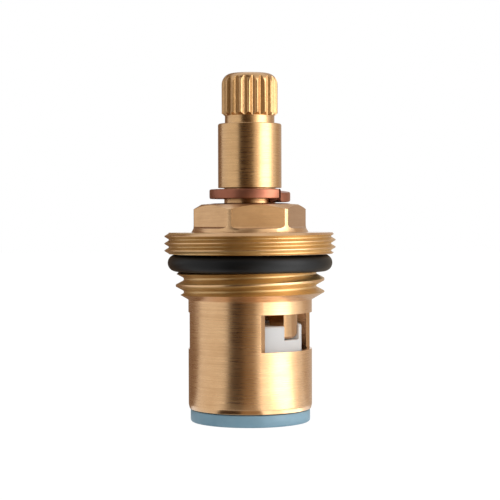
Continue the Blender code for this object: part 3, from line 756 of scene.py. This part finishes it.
@dataclass
class ValveBody:
    """The turned brass body with its hexagon, two threads, barrel and outlet windows."""

    barrel_radius: float = 8.675
    barrel_bottom: float = 1.8
    barrel_top: float = 17.05
    nose_radius: float = 8.525
    nose_height: float = 0.6
    nose_round: float = 0.8
    bore_radius: float = 8.0
    bore_chamfer: float = 0.25
    window_bottom: float = 10.2
    window_height: float = 5.1
    window_distance: float = 5.94
    window_bearing: float = math.radians(56.5)
    window_break: float = 0.07
    pipe_crest: float = 10.44
    pipe_top: float = 20.95
    pipe_chamfer: float = 0.45
    groove_radius: float = 9.1
    flange_radius: float = 12.0
    flange_bottom: float = 23.43
    flange_top: float = 26.43
    flange_chamfer: float = 0.45
    top: float = 30.5
    hexagon_apothem: float = 7.0
    hexagon_turned: float = 7.93
    hexagon_shoulder: float = 29.684
    hexagon_crown: float = 6.8
    crown_flat: float = 5.3
    crown_rise: float = 0.15
    hexagon_bearing: float = math.radians(-21.1)
    foot_radius: float = 8.23
    foot_height: float = 0.57
    foot_round: float = 0.5
    stem_radius: float = 4.575
    stem_chamfer: float = 0.3
    stop_bottom: float = 17.12
    stop_top: float = 19.2
    stop_bore: float = 6.1
    stop_pocket: float = 7.8
    ledge_angle: float = math.radians(45)
    ledge_bearing: float = math.radians(100)
    keyway_width: float = 4.2
    keyway_root: float = 1.0
    keyway_radius: float = 8.4
    keyway_top: float = 9.75

    def profile(self) -> Profile:
        """Gives the turned profile, down the outside and up the bore, with its edges broken."""
        lead = (self.pipe_crest - self.barrel_radius) * math.tan(math.radians(30))
        chamfer = self.flange_chamfer
        rim = self.flange_radius - chamfer
        return softened([
            (self.stem_radius + self.stem_chamfer, self.top, 0.04),
            (self.crown_flat, self.top, 0.1),
            (self.hexagon_crown, self.top - self.crown_rise, 0.08),
            (self.hexagon_turned, self.hexagon_shoulder, 0.05),
            (self.hexagon_turned, self.flange_top + self.foot_height, 0.0),
            (self.foot_radius, self.flange_top, 0.12),
            (rim, self.flange_top, 0.05),
            (self.flange_radius, self.flange_top - chamfer, 0.05),
            (self.flange_radius, self.flange_bottom + chamfer, 0.05),
            (rim, self.flange_bottom, 0.05),
            (self.groove_radius, self.flange_bottom, 0.15),
            (self.groove_radius, self.pipe_top, 0.15),
            (self.pipe_crest - self.pipe_chamfer, self.pipe_top, 0.05),
            (self.pipe_crest, self.pipe_top - self.pipe_chamfer, 0.05),
            (self.pipe_crest, self.barrel_top + lead, 0.05),
            (self.barrel_radius, self.barrel_top, 0.05),
            (self.barrel_radius, self.barrel_bottom + self.nose_height, self.nose_round),
            (self.nose_radius, self.barrel_bottom, 0.12),
            (self.bore_radius + self.bore_chamfer, self.barrel_bottom, 0.03),
            (self.bore_radius, self.barrel_bottom + self.bore_chamfer, 0.03),
            (self.bore_radius, self.stop_bottom, 0.0),
            (self.stop_bore, self.stop_bottom, 0.05),
            (self.stop_bore, self.stop_top, 0.0),
            (self.stem_radius, self.stop_top, 0.0),
            (self.stem_radius, self.top - self.stem_chamfer, 0.04),
        ])

    def hexagon(self) -> Object:
        """Gives the ring that the hexagon's milling takes away, rounded at its lower rim."""
        corner = self.hexagon_apothem / math.cos(math.pi / 6)
        outline = [
            polar(corner, self.hexagon_bearing + math.pi / 3 * side) for side in range(6)
        ]
        outside = arc(1.5 * self.flange_radius, 0.0, FULL_TURN, step_angle=0.3)[:-1]
        return prism(
            "hexagon_tool",
            [outside, outline],
            self.flange_top + self.foot_height,
            self.top + OVERCUT,
            rim=self.foot_round,
        )

    def milling(self) -> list[Object]:
        """Gives the tools of the windows, keyways and stop pockets."""
        reach = self.flange_radius
        size = Vector((reach, 2 * reach, self.window_height))
        middle = self.window_bottom + self.window_height / 2
        centre = Vector((self.window_distance + reach / 2, 0.0, middle))
        tools = [
            block("window_tool", size, centre, bearing) for bearing in opposed(self.window_bearing)
        ]
        for bearing in opposed(EAR_BEARING):
            outline = tongue(self.keyway_width, self.keyway_root, self.keyway_radius, bearing)
            bottom = self.barrel_bottom - OVERCUT
            tools.append(prism("keyway_tool", [outline], bottom, self.keyway_top))
        for bearing in opposed(self.ledge_bearing + math.pi / 2):
            outline = sector(
                self.stem_radius, self.stop_pocket, bearing, math.pi - self.ledge_angle
            )
            bottom = self.stop_bottom - OVERCUT
            tools.append(prism("stop_tool", [outline], bottom, self.stop_top))
        return tools

    def break_window_edges(self, obj: Object) -> None:
        """Rounds the milled windows' rims by the width of a deburring pass.

        Args:
            obj: The milled body.
        """
        work = bmesh.new()
        work.from_mesh(obj.data)
        slack = 0.01
        low, high = self.window_bottom - slack, self.window_bottom + self.window_height + slack
        facing = Vector((*polar(1.0, self.window_bearing), 0.0))
        rims = [
            edge
            for edge in work.edges
            if len(edge.link_faces) == 2
            and edge.calc_face_angle() > math.radians(35)
            and all(
                low < vert.co.z < high
                and abs(vert.co.dot(facing)) > self.window_distance - slack
                and vert.co.xy.length > self.bore_radius - 2 * slack
                for vert in edge.verts
            )
        ]
        bmesh.ops.bevel(
            work,
            geom=rims,
            offset=self.window_break,
            segments=2,
            profile=0.5,
            affect="EDGES",
            clamp_overlap=True,
            material=-1,
        )
        work.to_mesh(obj.data)
        work.free()

    def build(self) -> None:
        """Turns, threads and mills the body."""
        obj = coated(spun("turned_body", self.profile()), TURNED_BRASS)
        worked(obj, [coated(self.hexagon(), MILLED_BRASS)], Join.CUT)
        pipe = ThreadForm(
            self.pipe_crest, depth=1.12, pitch=1.814, flank_angle=math.radians(27.5), crest_height=19.0
        )
        fine = ThreadForm(
            self.flange_radius, depth=0.6, pitch=1.0, flank_angle=math.radians(30), crest_height=24.9
        )
        # The thread tools pass their darker colour on to the flanks, a painted shade in the grooves.
        worked(obj, [
            coated(tool, THREAD_BRASS_PAINTED_SHADE)
            for tool in (
                pipe.cutter("pipe_thread_tool", self.barrel_top, self.pipe_top),
                fine.cutter("fine_thread_tool", self.flange_bottom, self.flange_top),
            )
        ], Join.CUT)
        worked(obj, [coated(tool, MILLED_BRASS) for tool in self.milling()], Join.CUT)
        self.break_window_edges(obj)
        fitted(obj, HOUSING, "valve_body")


@dataclass
class Spindle:
    """The turned brass spindle, with its spline, stop wings and driving prongs."""

    top: float = 48.7
    spline_bottom: float = 42.72
    spline_radius: float = 3.925
    spline_root: float = 3.49
    spline_crown: float = 2.4
    spline_round: float = 1.6
    spline_bearing: float = math.radians(-2.0)
    spline_runout: float = 0.4
    teeth: int = 20
    neck_radius: float = 3.475
    shank_top: float = 41.64
    shank_bottom: float = 32.66
    stem_radius: float = 4.45
    clip_groove_radius: float = 3.6
    clip_groove_bottom: float = 30.5
    ring_grooves: tuple[float, float] = (25.6, 21.6)
    ring_groove_width: float = 1.75
    ring_groove_radius: float = 3.15
    shoulder: float = 18.5
    plate_top: float = 17.0
    plate_bottom: float = 15.4
    plate_radius: float = 7.88
    hub_radius: float = 5.98
    wing_radius: float = 7.68
    wing_angle: float = math.radians(44)
    prong_width: float = 3.36
    prong_inner: float = 4.42
    prong_radius: float = 7.0
    prong_bottom: float = 11.7
    prong_round: float = 0.8
    screw_radius: float = 1.65
    screw_depth: float = 11.0
    screw_cone: float = 0.9
    screw_chamfer: float = 0.35

    def profile(self) -> Profile:
        """Gives the turned profile, from the bottom of the screw hole down to the drive plate."""
        steps = 10
        width = self.spline_radius - self.spline_crown
        crown = [
            (
                self.spline_crown + width * math.sin(math.pi / 2 * step / steps),
                self.top - self.spline_round * (1 - math.cos(math.pi / 2 * step / steps)),
                0.0,
            )
            for step in range(steps + 1)
        ]
        grooves = []
        for bottom in self.ring_grooves:
            grooves += [
                (self.stem_radius, bottom + self.ring_groove_width, 0.06),
                (self.ring_groove_radius, bottom + self.ring_groove_width, 0.1),
                (self.ring_groove_radius, bottom, 0.1),
                (self.stem_radius, bottom, 0.06),
            ]
        return softened([
            (0.0, self.top - self.screw_depth, 0.0),
            (self.screw_radius, self.top - self.screw_depth + self.screw_cone, 0.0),
            (self.screw_radius, self.top - self.screw_chamfer, 0.03),
            (self.screw_radius + self.screw_chamfer, self.top, 0.03),
            *crown,
            (self.spline_radius, self.spline_bottom + self.spline_runout, 0.04),
            (self.neck_radius, self.spline_bottom, 0.1),
            (self.neck_radius, self.shank_top, 0.1),
            (self.stem_radius, self.shank_top, 0.25),
            (self.stem_radius, self.shank_bottom, 0.06),
            (self.clip_groove_radius, self.shank_bottom, 0.1),
            (self.clip_groove_radius, self.clip_groove_bottom, 0.1),
            (self.stem_radius, self.clip_groove_bottom, 0.06),
            *grooves,
            (self.stem_radius, self.shoulder, 0.15),
            (self.hub_radius, self.shoulder, 0.08),
            (self.hub_radius, self.plate_top, 0.1),
            (self.plate_radius, self.plate_top, 0.08),
            (self.plate_radius, self.plate_bottom, 0.2),
            (0.0, self.plate_bottom, 0.0),
        ], closed=False)

    def spline(self) -> Object:
        """Gives the ring that cutting the spline takes away, with rounded tips and roots.

        Its outline passes the tips by a hair, so that no face of it lies on the blank's.
        """
        clearance = 0.005
        middle = (self.spline_radius + self.spline_root) / 2 + clearance
        swing = (self.spline_radius - self.spline_root) / 2
        steps_in_tooth = 12
        points = steps_in_tooth * self.teeth
        star = [
            polar(
                middle + swing * math.cos(FULL_TURN * self.teeth * step / points),
                self.spline_bearing + FULL_TURN * step / points,
            )
            for step in range(points)
        ]
        outside = arc(2 * self.spline_radius, 0.0, FULL_TURN, step_angle=0.2)[:-1]
        overlap = 0.05
        bottom = self.spline_bottom - overlap
        return prism("spline_tool", [outside, star], bottom, self.top + OVERCUT)

    def drive(self) -> list[Object]:
        """Gives the stop wings above the drive plate and the prongs below it."""
        parts = []
        sunk = 0.4
        for bearing in opposed(PRONG_BEARING + math.pi / 2):
            outline = sector(self.hub_radius - sunk, self.wing_radius, bearing, self.wing_angle)
            parts.append(prism("wing", [outline], self.plate_top - sunk, self.shoulder))
        for bearing in opposed(PRONG_BEARING):
            outline = tongue(self.prong_width, self.prong_inner, self.prong_radius, bearing)
            top = self.plate_bottom + sunk
            parts.append(prism("prong", [outline], self.prong_bottom, top, self.prong_round))
        return parts

    def build(self) -> None:
        """Turns the spindle, cuts its spline and adds its drive."""
        obj = coated(spun("splined_spindle", self.profile(), closed=False), STEM_BRASS)
        worked(obj, [coated(self.spline(), SPLINED_BRASS)], Join.CUT)
        worked(obj, [coated(part, MILLED_BRASS) for part in self.drive()], Join.ADD)
        fitted(obj, SPINDLE_ASSEMBLY, "spindle")


@dataclass
class RetainingClip:
    """The split ring in the spindle's groove, level but for one end that is bent down."""

    inner: float = 3.72
    outer: float = 5.67
    bottom: float = 31.12
    thickness: float = 1.35
    drop: float = 0.52
    bent_angle: float = math.radians(120)
    gap_bearing: float = math.radians(47)
    gap_angle: float = math.radians(3.5)
    edge_round: float = 0.25

    def build(self) -> None:
        """Winds the clip level and bends its first end down in a smooth curve."""
        top = self.bottom + self.thickness
        section = softened([
            (radius, height, self.edge_round)
            for radius, height in (
                (self.inner, self.bottom),
                (self.outer, self.bottom),
                (self.outer, top),
                (self.inner, top),
            )
        ])
        turns = 1 - self.gap_angle / FULL_TURN
        start = self.gap_bearing + self.gap_angle / 2
        obj = wound("wound_clip", section, lead=0.0, turns=turns, bearing=start)
        for vert in obj.data.vertices:
            heading = math.atan2(vert.co.x, -vert.co.y)
            part = (heading - start) % FULL_TURN / self.bent_angle
            if part < 1:
                vert.co.z -= self.drop * (1 - part) ** 2 * (1 + 2 * part)
        fitted(coated(obj, COPPER_PLATE), SPINDLE_ASSEMBLY, "retaining_clip")


@dataclass
class RubberRings:
    """The flange O-ring and the two stem O-rings."""

    flange_radius: float = 10.36
    flange_section: float = 1.2
    flange_height: float = 22.19
    stem_radius: float = 3.8625
    stem_section: float = 0.6525
    stem_heights: tuple[float, float] = (22.475, 26.475)

    @staticmethod
    def ring(name: str, radius: float, section: float, height: float) -> Object:
        """Makes one O-ring.

        Args:
            name: Name of the object.
            radius: Radius to the middle of its cord.
            section: Radius of its cord.
            height: Height of its middle.

        Returns:
            The ring.
        """
        steps = 28
        cord = [
            (
                radius + section * math.cos(FULL_TURN * step / steps),
                height + section * math.sin(FULL_TURN * step / steps),
            )
            for step in range(steps)
        ]
        return spun(name, cord, steps=160)

    def build(self) -> None:
        """Makes the three rings."""
        ring = self.ring(
            "flange_ring", self.flange_radius, self.flange_section, self.flange_height
        )
        fitted(coated(ring, BLACK_RUBBER), HOUSING, "flange_o_ring")
        for place, height in zip(("lower", "upper"), self.stem_heights):
            ring = self.ring(f"stem_ring_{place}", self.stem_radius, self.stem_section, height)
            node = f"spindle_o_ring_{place}"
            fitted(coated(ring, BLACK_RUBBER), SPINDLE_ASSEMBLY, node)


@dataclass
class CeramicDiscs:
    """The two lapped discs: the upper turns with the spindle, the lower stays in the body."""

    upper_radius: float = 7.2
    upper_bottom: float = 9.85
    upper_top: float = 13.6
    lower_radius: float = 7.8
    lower_bottom: float = 6.55
    lower_top: float = 9.75
    chamfer: float = 0.18
    aperture_inner: float = 1.7
    aperture_outer: float = 5.3
    aperture_angle: float = math.radians(74)
    notch_width: float = 3.6
    notch_inner: float = 4.3
    notch_reach: float = 8.0
    notch_floor: float = 11.6
    notch_height: float = 4.0
    ear_width: float = 4.0
    ear_root: float = 5.7
    ear_radius: float = 8.3

    def blank(self, name: str, radius: float, bottom: float, top: float) -> Object:
        """Turns a disc with chamfered rims.

        Args:
            name: Name of the object.
            radius: Its radius.
            bottom: Height of its lower face.
            top: Height of its upper face.

        Returns:
            The disc.
        """
        return spun(name, softened([
            (0.0, top, 0.0),
            (radius - self.chamfer, top, 0.05),
            (radius, top - self.chamfer, 0.05),
            (radius, bottom + self.chamfer, 0.05),
            (radius - self.chamfer, bottom, 0.05),
            (0.0, bottom, 0.0),
        ], closed=False), closed=False, steps=160)

    def apertures(self, bearing: float, bottom: float, top: float) -> list[Object]:
        """Gives the tools of a disc's two water apertures.

        Args:
            bearing: Bearing of the first.
            bottom: Height of the disc's lower face.
            top: Height of its upper face.

        Returns:
            The tools.
        """
        return [
            prism(
                "aperture_tool",
                [sector(self.aperture_inner, self.aperture_outer, side, self.aperture_angle)],
                bottom - OVERCUT,
                top + OVERCUT,
            )
            for side in opposed(bearing)
        ]

    def upper(self) -> Object:
        """Makes the disc that the spindle's prongs turn."""
        disc = self.blank("notched_disc", self.upper_radius, self.upper_bottom, self.upper_top)
        size = Vector((self.notch_reach, self.notch_width, self.notch_height))
        middle = self.notch_floor + self.notch_height / 2
        centre = Vector((self.notch_inner + self.notch_reach / 2, 0.0, middle))
        notches = [block("notch_tool", size, centre, bearing) for bearing in opposed(PRONG_BEARING)]
        across = PRONG_BEARING + math.pi / 2
        tools = self.apertures(across, self.upper_bottom, self.upper_top) + notches
        return worked(disc, tools, Join.CUT)

    def lower(self) -> Object:
        """Makes the disc that its ears hold in the body's keyways."""
        disc = self.blank("eared_disc", self.lower_radius, self.lower_bottom, self.lower_top)
        ears = [
            prism(
                "ear",
                [tongue(self.ear_width, self.ear_root, self.ear_radius, bearing)],
                self.lower_bottom + self.chamfer,
                self.lower_top - self.chamfer,
            )
            for bearing in opposed(EAR_BEARING)
        ]
        worked(disc, ears, Join.ADD)
        tools = self.apertures(PRONG_BEARING, self.lower_bottom, self.lower_top)
        return worked(disc, tools, Join.CUT)

    def build(self) -> None:
        """Makes both discs, which have no finish of their own and show Blender's plain pale grey."""
        fitted(self.upper(), SPINDLE_ASSEMBLY, "rotating_disc")
        fitted(self.lower(), HOUSING, "fixed_disc")


@dataclass
class SeatSeal:
    """The blue rubber seal under the barrel and the stiff ring inside it."""

    lip_radius: float = 8.4
    lip_height: float = 1.7
    outer: float = 7.9
    inner: float = 6.1
    height: float = 6.45
    shoulder_width: float = 0.5
    shoulder_drop: float = 0.4
    bead_width: float = 0.9
    support_outer: float = 6.0
    support_inner: float = 5.1
    support_bottom: float = 1.05
    support_top: float = 5.95

    def build(self) -> None:
        """Turns the profiles of the seal and its ring."""
        bead = self.outer - self.shoulder_width
        shoulder = self.height - self.shoulder_drop
        seal = spun("lipped_seal", softened([
            (bead - self.bead_width, self.height, 0.25),
            (bead, self.height, 0.2),
            (self.outer, shoulder, 0.1),
            (self.outer, self.lip_height, 0.1),
            (self.lip_radius, self.lip_height, 0.3),
            (self.lip_radius, 0.0, 0.3),
            (self.inner, 0.0, 0.1),
            (self.inner, shoulder, 0.1),
        ]))
        fitted(coated(seal, BLUE_RUBBER), HOUSING, "seat_seal")
        ring = spun("stiff_ring", softened([
            (self.support_outer, self.support_top, 0.2),
            (self.support_outer, self.support_bottom, 0.2),
            (self.support_inner, self.support_bottom, 0.05),
            (self.support_inner, self.support_top, 0.05),
        ]), steps=128)
        fitted(coated(ring, ACETAL), HOUSING, "seal_support_ring")


@dataclass
class FrictionWasher:
    """The slip washer between the spindle's shoulder and the body."""

    inner: float = 4.57
    outer: float = 5.98
    bottom: float = 18.6
    top: float = 19.1
    edge_round: float = 0.06

    def build(self) -> None:
        """Turns the washer's profile."""
        rims = ((self.outer, (self.top, self.bottom)), (self.inner, (self.bottom, self.top)))
        corners = [
            (radius, height, self.edge_round) for radius, heights in rims for height in heights
        ]
        washer = spun("slip_washer", softened(corners), steps=128)
        fitted(coated(washer, ACETAL), HOUSING, "friction_washer")


# the studio


class Stand(Enum):
    """How a card stands: flat on the table, as a wall at its far end, bent to do both, or above."""

    FLAT = slice(0, 2)
    WALL = slice(1, 3)
    BENT = slice(0, 3)
    ROOF = slice(2, 4)


@dataclass(frozen=True)
class Card:
    """One glowing card that the brass reflects, out of the camera's sight.

    Its sides are bearings in degrees, and it reaches from near to far, in millimetres.
    """

    name: str
    sides: tuple[float, float]
    colour: str
    strength: float = 1.0
    stand: Stand = Stand.FLAT
    near: float = 9.5
    far: float = 450.0
    low: float = 0.3
    top: float = 450.0

    def set_up(self) -> None:
        """Makes the card and its even glow."""
        work = bmesh.new()
        rails = []
        for side in self.sides:
            bearing = math.radians(side)
            rail = [
                (*polar(self.near, bearing), self.low),
                (*polar(self.far, bearing), self.low),
                (*polar(self.far, bearing), self.top),
                (*polar(self.near, bearing), self.top),
            ][self.stand.value]
            rails.append([work.verts.new(point) for point in rail])
        left, right = rails
        for index in range(len(left) - 1):
            work.faces.new((left[index], right[index], right[index + 1], left[index + 1]))
        card = solid(self.name, work)
        card.data.transform(Matrix.Scale(MM, 4))
        card.visible_camera = False
        card.visible_diffuse = False
        card.visible_shadow = False
        material = bpy.data.materials.new(self.name)
        tree = bare_tree(material)
        glow = add_node(
            tree, "ShaderNodeEmission", {"Color": linear(self.colour), "Strength": self.strength}
        )
        add_node(tree, "ShaderNodeOutputMaterial", {}, {"Surface": glow.outputs["Emission"]})
        card.data.materials.append(material)


# What a photographer's cards do here: dark ones give the brass its band, lit ones widen the lamp's
# reflection, and the two strips by the foot show in the cone under the thread.
CARDS = (
    Card("dark_card", (-40.0, -11.0), "3C2A1C", stand=Stand.BENT),
    Card("dim_screen", (-11.0, 16.0), "4A3828", stand=Stand.WALL),
    Card("soft_screen", (16.0, 31.0), "EEE6DA", 1.3, stand=Stand.WALL),
    Card("dim_card", (-11.0, 14.0), "A48A6E"),
    Card("lit_card", (14.0, 40.0), "FFFFFF", 2.4, far=170.0),
    Card("far_card", (14.0, 40.0), "EEE6DA", 1.3, near=170.0),
    Card("core_card", (40.0, 74.0), "FFFFFF", 4.1),
    Card("end_card", (74.0, 90.0), "FFFFFF", 1.5),
    Card("left_flag", (-175.0, -106.0), "8A6E56"),
    Card("left_screen", (-175.0, -122.0), "8A6E56", stand=Stand.WALL),
    Card("right_flag", (108.0, 175.0), "CDBCAA", stand=Stand.BENT),
    Card("roof_card", (-80.0, 20.0), "5A4028", stand=Stand.ROOF),
    Card("pale_strip", (-40.0, 14.0), "FFFFFF", near=15.5, far=19.5, low=0.5),
    Card("brown_strip", (14.0, 90.0), "7A5C3C", near=15.5, far=19.5, low=0.5),
)


@dataclass
class Studio:
    """A pale table, a white surround, a large soft lamp, and cards for the brass to reflect.

    Its lengths are in metres, but for the lens. The lamp's core is a narrower lamp just in front of
    it, and the table's glow takes the place of most of its paper where it is seen.
    """

    distance: float = 0.210
    camera_height: float = 0.0285
    lens: float = 107.65
    tilt: float = math.radians(-1.24)
    roll: float = math.radians(-0.15)
    lamp_bearing: float = math.radians(59.5)
    lamp_distance: float = 0.5
    lamp_width: float = 0.545
    lamp_height: float = 0.7
    lamp_rise: float = 0.12
    lamp_aim: float = 0.025
    lamp_radiance: float = 1.5
    core_gap: float = 0.01
    core_width: float = 0.32
    core_radiance: float = 2.6
    surround_light: float = 0.6
    table_size: float = 1.0
    table_drop: float = 0.00002
    table_glow: float = 1.08
    table_share: float = 0.9

    def camera(self) -> None:
        """Sets the camera just above the flange, tipped down a little."""
        lens = bpy.data.cameras.new("camera")
        lens.lens = self.lens
        lens.sensor_width = 36.0
        lens.clip_start = 0.01
        lens.clip_end = 20.0
        camera = bpy.data.objects.new("camera", lens)
        place = Matrix.Translation((0.0, -self.distance, self.camera_height))
        turn = Matrix.Rotation(math.pi / 2 + self.tilt, 4, "X") @ Matrix.Rotation(self.roll, 4, "Z")
        camera.matrix_world = place @ turn
        bpy.context.scene.collection.objects.link(camera)
        bpy.context.scene.camera = camera

    @staticmethod
    def seen(tree: NodeTree) -> NodeSocket:
        """Gives 1 where a ray from the camera, a reflection or a refraction meets a surface.

        Args:
            tree: The node tree of the surface or the world.

        Returns:
            The value output.
        """
        path = add_node(tree, "ShaderNodeLightPath")
        seen = path.outputs["Is Camera Ray"]
        for kind in ("Is Glossy Ray", "Is Transmission Ray"):
            seen = add_node(
                tree, "ShaderNodeMath", {}, {0: seen, 1: path.outputs[kind]}, operation="MAXIMUM"
            ).outputs["Value"]
        return seen

    def surround(self) -> None:
        """Makes the world white where it is seen and softer where it lights the object."""
        world = bpy.data.worlds.new("studio_surround")
        tree = bare_tree(world)
        lit, shown = (
            add_node(
                tree, "ShaderNodeBackground", {"Color": WHITE, "Strength": strength}
            ).outputs["Background"]
            for strength in (self.surround_light, 1.0)
        )
        mixed = add_node(tree, "ShaderNodeMixShader", {}, {0: self.seen(tree), 1: lit, 2: shown})
        add_node(tree, "ShaderNodeOutputWorld", {}, {"Surface": mixed.outputs["Shader"]})
        bpy.context.scene.world = world

    def table(self) -> None:
        """Lays the pale table, which shows white but keeps a faint shadow."""
        work = bmesh.new()
        bmesh.ops.create_grid(work, x_segments=1, y_segments=1, size=self.table_size)
        floor = solid("studio_table", work)
        floor.data.transform(Matrix.Translation((0.0, 0.0, -self.table_drop)))
        material = bpy.data.materials.new("studio_paper")
        tree = bare_tree(material)
        paper = add_node(tree, "ShaderNodeBsdfDiffuse", {"Color": linear("F4F4F2")})
        white = add_node(tree, "ShaderNodeEmission", {"Color": WHITE, "Strength": self.table_glow})
        share = add_node(
            tree, "ShaderNodeMath", {1: self.table_share}, {0: self.seen(tree)}, operation="MULTIPLY"
        )
        mixed = add_node(
            tree,
            "ShaderNodeMixShader",
            {},
            {0: share.outputs["Value"], 1: paper.outputs["BSDF"], 2: white.outputs["Emission"]},
        )
        add_node(tree, "ShaderNodeOutputMaterial", {}, {"Surface": mixed.outputs["Shader"]})
        floor.data.materials.append(material)

    def lamp(self, name: str, width: float, radiance: float, distance: float) -> Object:
        """Hangs one of the soft lamps at the camera's right.

        Args:
            name: Name of the lamp.
            width: Its width.
            radiance: Its brightness.
            distance: Its distance from the axis.

        Returns:
            The lamp.
        """
        light = bpy.data.lights.new(name, "AREA")
        light.shape = "RECTANGLE"
        light.size = width
        light.size_y = self.lamp_height
        light.energy = radiance * math.pi * width * self.lamp_height
        lamp = bpy.data.objects.new(name, light)
        x, y = polar(distance, self.lamp_bearing)
        lamp.location = (x, y, self.lamp_rise)
        aim = Vector((0.0, 0.0, self.lamp_aim)) - lamp.location
        lamp.rotation_euler = aim.to_track_quat("-Z", "Y").to_euler()
        lamp.visible_camera = False
        bpy.context.scene.collection.objects.link(lamp)
        return lamp

    def build(self) -> None:
        """Sets up the camera, the table and the light."""
        bpy.context.scene.view_settings.view_transform = "Standard"
        self.camera()
        self.surround()
        self.table()
        self.lamp("soft_lamp", self.lamp_width, self.lamp_radiance, self.lamp_distance)
        near = self.lamp_distance - self.core_gap
        core = self.lamp("lamp_core", self.core_width, self.core_radiance, near)
        core.visible_diffuse = False
        for card in CARDS:
            card.set_up()


def main() -> None:
    """Builds the cartridge and its studio."""
    logging.basicConfig(level=logging.INFO, format="%(message)s")
    assemblies = (
        ValveBody(),
        Spindle(),
        RetainingClip(),
        RubberRings(),
        CeramicDiscs(),
        SeatSeal(),
        FrictionWasher(),
        Studio(),
    )
    for assembly in assemblies:
        log.info("building %s", type(assembly).__name__)
        assembly.build()


if __name__ == "__main__":
    main()
